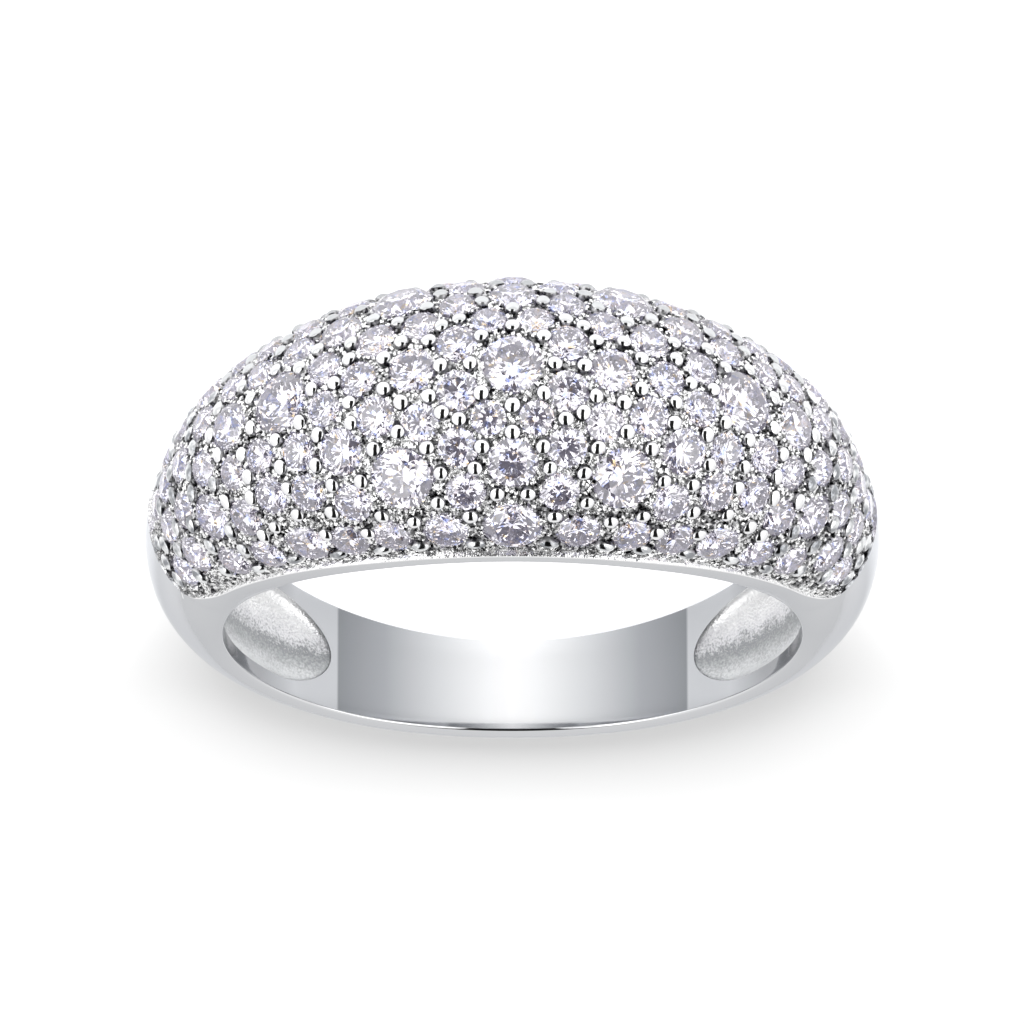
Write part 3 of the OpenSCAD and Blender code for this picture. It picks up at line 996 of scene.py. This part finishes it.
# %% Clear stone
# level of the noise, colour; the blue and orange colours are painted flashes
TINTS_AND_PAINTED_FLASHES = [(0.32, (0.25, 0.35, 1.0)), (0.385, (0.9, 0.9, 1.0)), (0.57, (0.99, 0.96, 1.0)),
         (0.65, (1.0, 0.88, 0.92)), (0.69, (1.0, 0.62, 0.2))]
TINT_MM = 0.22


def stone_material():
    """Clear, with small tinted places, some of them painted flashes, and a faint glow of painted light."""
    material, start = new_material("clear_stone")
    finish_material(start, start.node("BsdfPrincipled", inputs={
        "Base Color": ramp(noise(start, TINT_MM), TINTS_AND_PAINTED_FLASHES),
        "Roughness": 0.0, "IOR": 2.4, "Transmission Weight": 1.0,
        "Emission Color": (0.66, 0.62, 0.78, 1.0), "Emission Strength": 0.048}))
    return material


stone = stone_material()
print(stone.name, "is ready")

# %% [markdown]
# ## Setting the stones
#
# Each stone is turned about its own axis by chance, as a setter drops it in,
# so that neighbours don't flash alike. The large stones stay pieces of their
# own, and the small ones are joined into a left and a right group, because the
# CAD model has them so.

# %% Set the stones
twist_chance = np.random.default_rng(7)


def set_stone(a, t, size):
    """Points and faces of one stone in its place."""
    place, axes = floor_frame(a, t)
    points, faces = brilliant(size, girdle_level(size), twist_chance.uniform(0, math.pi / 4))
    return place + points @ axes, faces


for number, row in enumerate(main_stones, 1):
    points, faces = set_stone(*row)
    piece = add_piece(f"large_stone_{number}", lay_down(points), faces, [stone])
    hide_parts(f"main_stone_{number}")
for side, name in ((-1, "left"), (1, "right")):
    points, faces = joined([set_stone(*row) for row in small_stones if row[0] * side > 0])
    piece = add_piece(f"small_stones_{name}", lay_down(points), faces, [stone])
    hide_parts(f"stones_{name}")

# %% [markdown]
# ## The table
#
# The photograph has a white ground. The floor is a plain pale plane, a hair
# uneven in colour. The ring takes light from the floor inside the finger hole
# and in front of the dome, but the photograph is pure white there. So the floor
# glows a little in those two places.

# %% The table's finish
# radius or reach of each glowing place, in metres, and how soft its edge is
HOLE_RADIUS, HOLE_EDGE = 0.0095, 0.0004
FRONT_REACH, FRONT_REACH_EDGE = 0.019, 0.005
BEHIND_FROM, BEHIND_EDGE = 0.009, 0.004
FRONT_GLOW = 0.6
SHADES, SHADE_MM = [(0.3, (0.72, 0.72, 0.72)), (0.7, (0.75, 0.75, 0.75))], 40


def table_finish():
    """Matt white that glows, as painted light, where the photograph's ground is pure white."""
    material, start = new_material("white_table")
    from_middle = start.node("VectorMath", {"operation": "DISTANCE"}, output="Value", inputs={
        0: start.node("TexCoord", output="Object"), 1: (0.0, CENTRE_Y * MM, 0.0)})
    shade = ramp(noise(start, SHADE_MM), SHADES)
    in_hole = 1 - step_up(from_middle, HOLE_RADIUS, HOLE_EDGE)
    in_front = ((1 - step_up(coordinate(start, 1), BEHIND_FROM, BEHIND_EDGE))
                * (1 - step_up(from_middle, FRONT_REACH, FRONT_REACH_EDGE)))
    # painted light: the floor glows in the finger hole and in front of the dome, where the ring shades it
    glow = start.math("MAXIMUM", in_hole, FRONT_GLOW * in_front)
    finish_material(start, start.node("BsdfPrincipled", inputs={
        "Base Color": shade, "Roughness": 0.9, "Specular IOR Level": 0.1, "Emission Strength": 0.8,
        "Emission Color": start.node("CombineColor", inputs={0: glow, 1: glow, 2: glow})}))
    return material


white_table = table_finish()
print(white_table.name, "glows", FRONT_GLOW, "as much in front as in the hole")

# %% Floor
SPAN = 0.12
floor_mesh = bpy.data.meshes.new("floor")
floor_corners = [(-SPAN, -SPAN, 0), (SPAN, -SPAN, 0), (SPAN, SPAN, 0), (-SPAN, SPAN, 0)]
floor_mesh.from_pydata(floor_corners, [], [(0, 1, 2, 3)])
floor_mesh.materials.append(white_table)
floor = bpy.data.objects.new("floor", floor_mesh)
bpy.context.scene.collection.objects.link(floor)
print("the floor is", 2 * SPAN, "m wide")

# %% [markdown]
# ## The camera
#
# The photograph looks at the dome from the front and a little from the side
# that lies up here. Its own upper edge points towards the table, so the
# camera is rolled by half a turn: then the picture has the ring the same way
# up as the photograph, while the ring lies safely on its side. The lens is
# long, because the photograph has almost no perspective.

# %% Where the camera looks
VIEW_SINE = 0.445  # sine of the angle between the view and the middle plane of the band
CAMERA_DISTANCE = 0.5
AIM_UP, AIM_LEFT = 1.412, 0.015  # where the camera aims, in mm from the centre of the bore
toward = turn([0, -math.sqrt(1 - VIEW_SINE**2), VIEW_SINE])
picture_up = turn([0, -VIEW_SINE, -math.sqrt(1 - VIEW_SINE**2)])
picture_right = np.cross(picture_up, toward)
target = lay_down([0, 0, 0]) + picture_up * AIM_UP * MM - picture_right * AIM_LEFT * MM
spot = target + toward * CAMERA_DISTANCE
print("camera direction:", np.round(toward, 3), "picture up:", np.round(picture_up, 3))

# %% Camera
PICTURE_PIXELS, PIXELS_PER_MM = 1024, 33.35
FILM_WIDTH = 36
picture_mm = PICTURE_PIXELS / PIXELS_PER_MM
camera_data = bpy.data.cameras.new("camera")
camera_data.sensor_width = FILM_WIDTH
camera_data.lens = FILM_WIDTH * CAMERA_DISTANCE / (picture_mm * MM)
camera = bpy.data.objects.new("camera", camera_data)
bpy.context.scene.collection.objects.link(camera)
camera_rows = [[picture_right[n], picture_up[n], toward[n], spot[n]] for n in range(3)]
camera.matrix_world = Matrix(camera_rows + [[0, 0, 0, 1]])
bpy.context.scene.camera = camera
print("the lens is", round(camera_data.lens), "mm long")

# %% [markdown]
# ## The sky of the studio
#
# A mirror finish shows nothing but what is around it, so the sky is a shader
# too. It is white, with soft brighter panels on the camera's side that give
# the beads and the shoulders something to reflect. A dark strip runs upright
# behind the camera, like the gap between two large panels, and draws the dark
# spots in the round beads. The far side is a little darker.

# %% Sky
PANEL_SCALE, PANEL_MIDDLE, PANEL_EDGE, PANEL_LIGHT = 2.6, 0.48, 0.08, 1.1
STRIP_WIDTH, STRIP_EDGE, STRIP_DEPTH = 0.31, 0.02, 0.99
FAR_SIDE_DROP = 0.12
# where each zone starts and how soft its edge is; the last is measured away from the camera
STRIP_ZONE, PANEL_ZONE, FAR_ZONE = (-0.1, 0.15), (0.25, 0.15), (0.3, 0.2)
world = bpy.data.worlds.new("studio")
bpy.context.scene.world = world
world.use_nodes = True
world.node_tree.nodes.clear()
start = Wire(world.node_tree)
direction = start.node("TexCoord", output="Generated")


def facing(vector):
    """How far a direction of the sky points along a fixed one, from -1 to 1."""
    return start.node("VectorMath", {"operation": "DOT_PRODUCT"}, output="Value",
                      inputs={0: direction, 1: tuple(float(v) for v in vector)})


sideways = start.math("ABSOLUTE", facing(picture_right), 0.0)
front = facing(toward)
dark_strip = step_up(front, *STRIP_ZONE) * (1 - step_up(sideways, STRIP_WIDTH, STRIP_EDGE))
far_side = step_up(front * -1.0, *FAR_ZONE)
clouds = start.node("TexNoise", inputs={"Vector": direction, "Scale": PANEL_SCALE, "Detail": 0.0})
panels = step_up(front, *PANEL_ZONE) * step_up(clouds, PANEL_MIDDLE, PANEL_EDGE)
brightness = (1.0 + PANEL_LIGHT * panels) * (1 - STRIP_DEPTH * dark_strip) - FAR_SIDE_DROP * far_side
background = start.node("Background", inputs={"Color": (1.0, 1.0, 1.0, 1.0), "Strength": brightness})
start.node("OutputWorld", inputs={"Surface": background})
print("the sky has", len(world.node_tree.nodes), "nodes")

# %% [markdown]
# ## The softbox
#
# One large lamp in front of the ring adds the soft shadow below it in the
# picture. Mirrors and stones don't show the lamp itself: it would burn out a
# facet or two, and no real softbox is that small and bright.

# %% Softbox
LAMP_LONG, LAMP_SHORT, LAMP_WATTS, LAMP_DISTANCE = 0.2, 0.12, 3.6, 0.5
LAMP_DIRECTION = (0.0, -0.88, 0.43)
lamp_data = bpy.data.lights.new("softbox", "AREA")
lamp_data.shape = "RECTANGLE"
lamp_data.size, lamp_data.size_y, lamp_data.energy = LAMP_LONG, LAMP_SHORT, LAMP_WATTS
lamp = bpy.data.objects.new("softbox", lamp_data)
bpy.context.scene.collection.objects.link(lamp)
lamp.visible_glossy = lamp.visible_transmission = False
lamp_from = Vector(LAMP_DIRECTION).normalized() * LAMP_DISTANCE
lamp.location = lamp_from
lamp.rotation_euler = lamp_from.to_track_quat("Z", "Y").to_euler()
bpy.context.scene.view_settings.view_transform = "Standard"
print("the lamp stands at", [round(v, 3) for v in lamp.location])
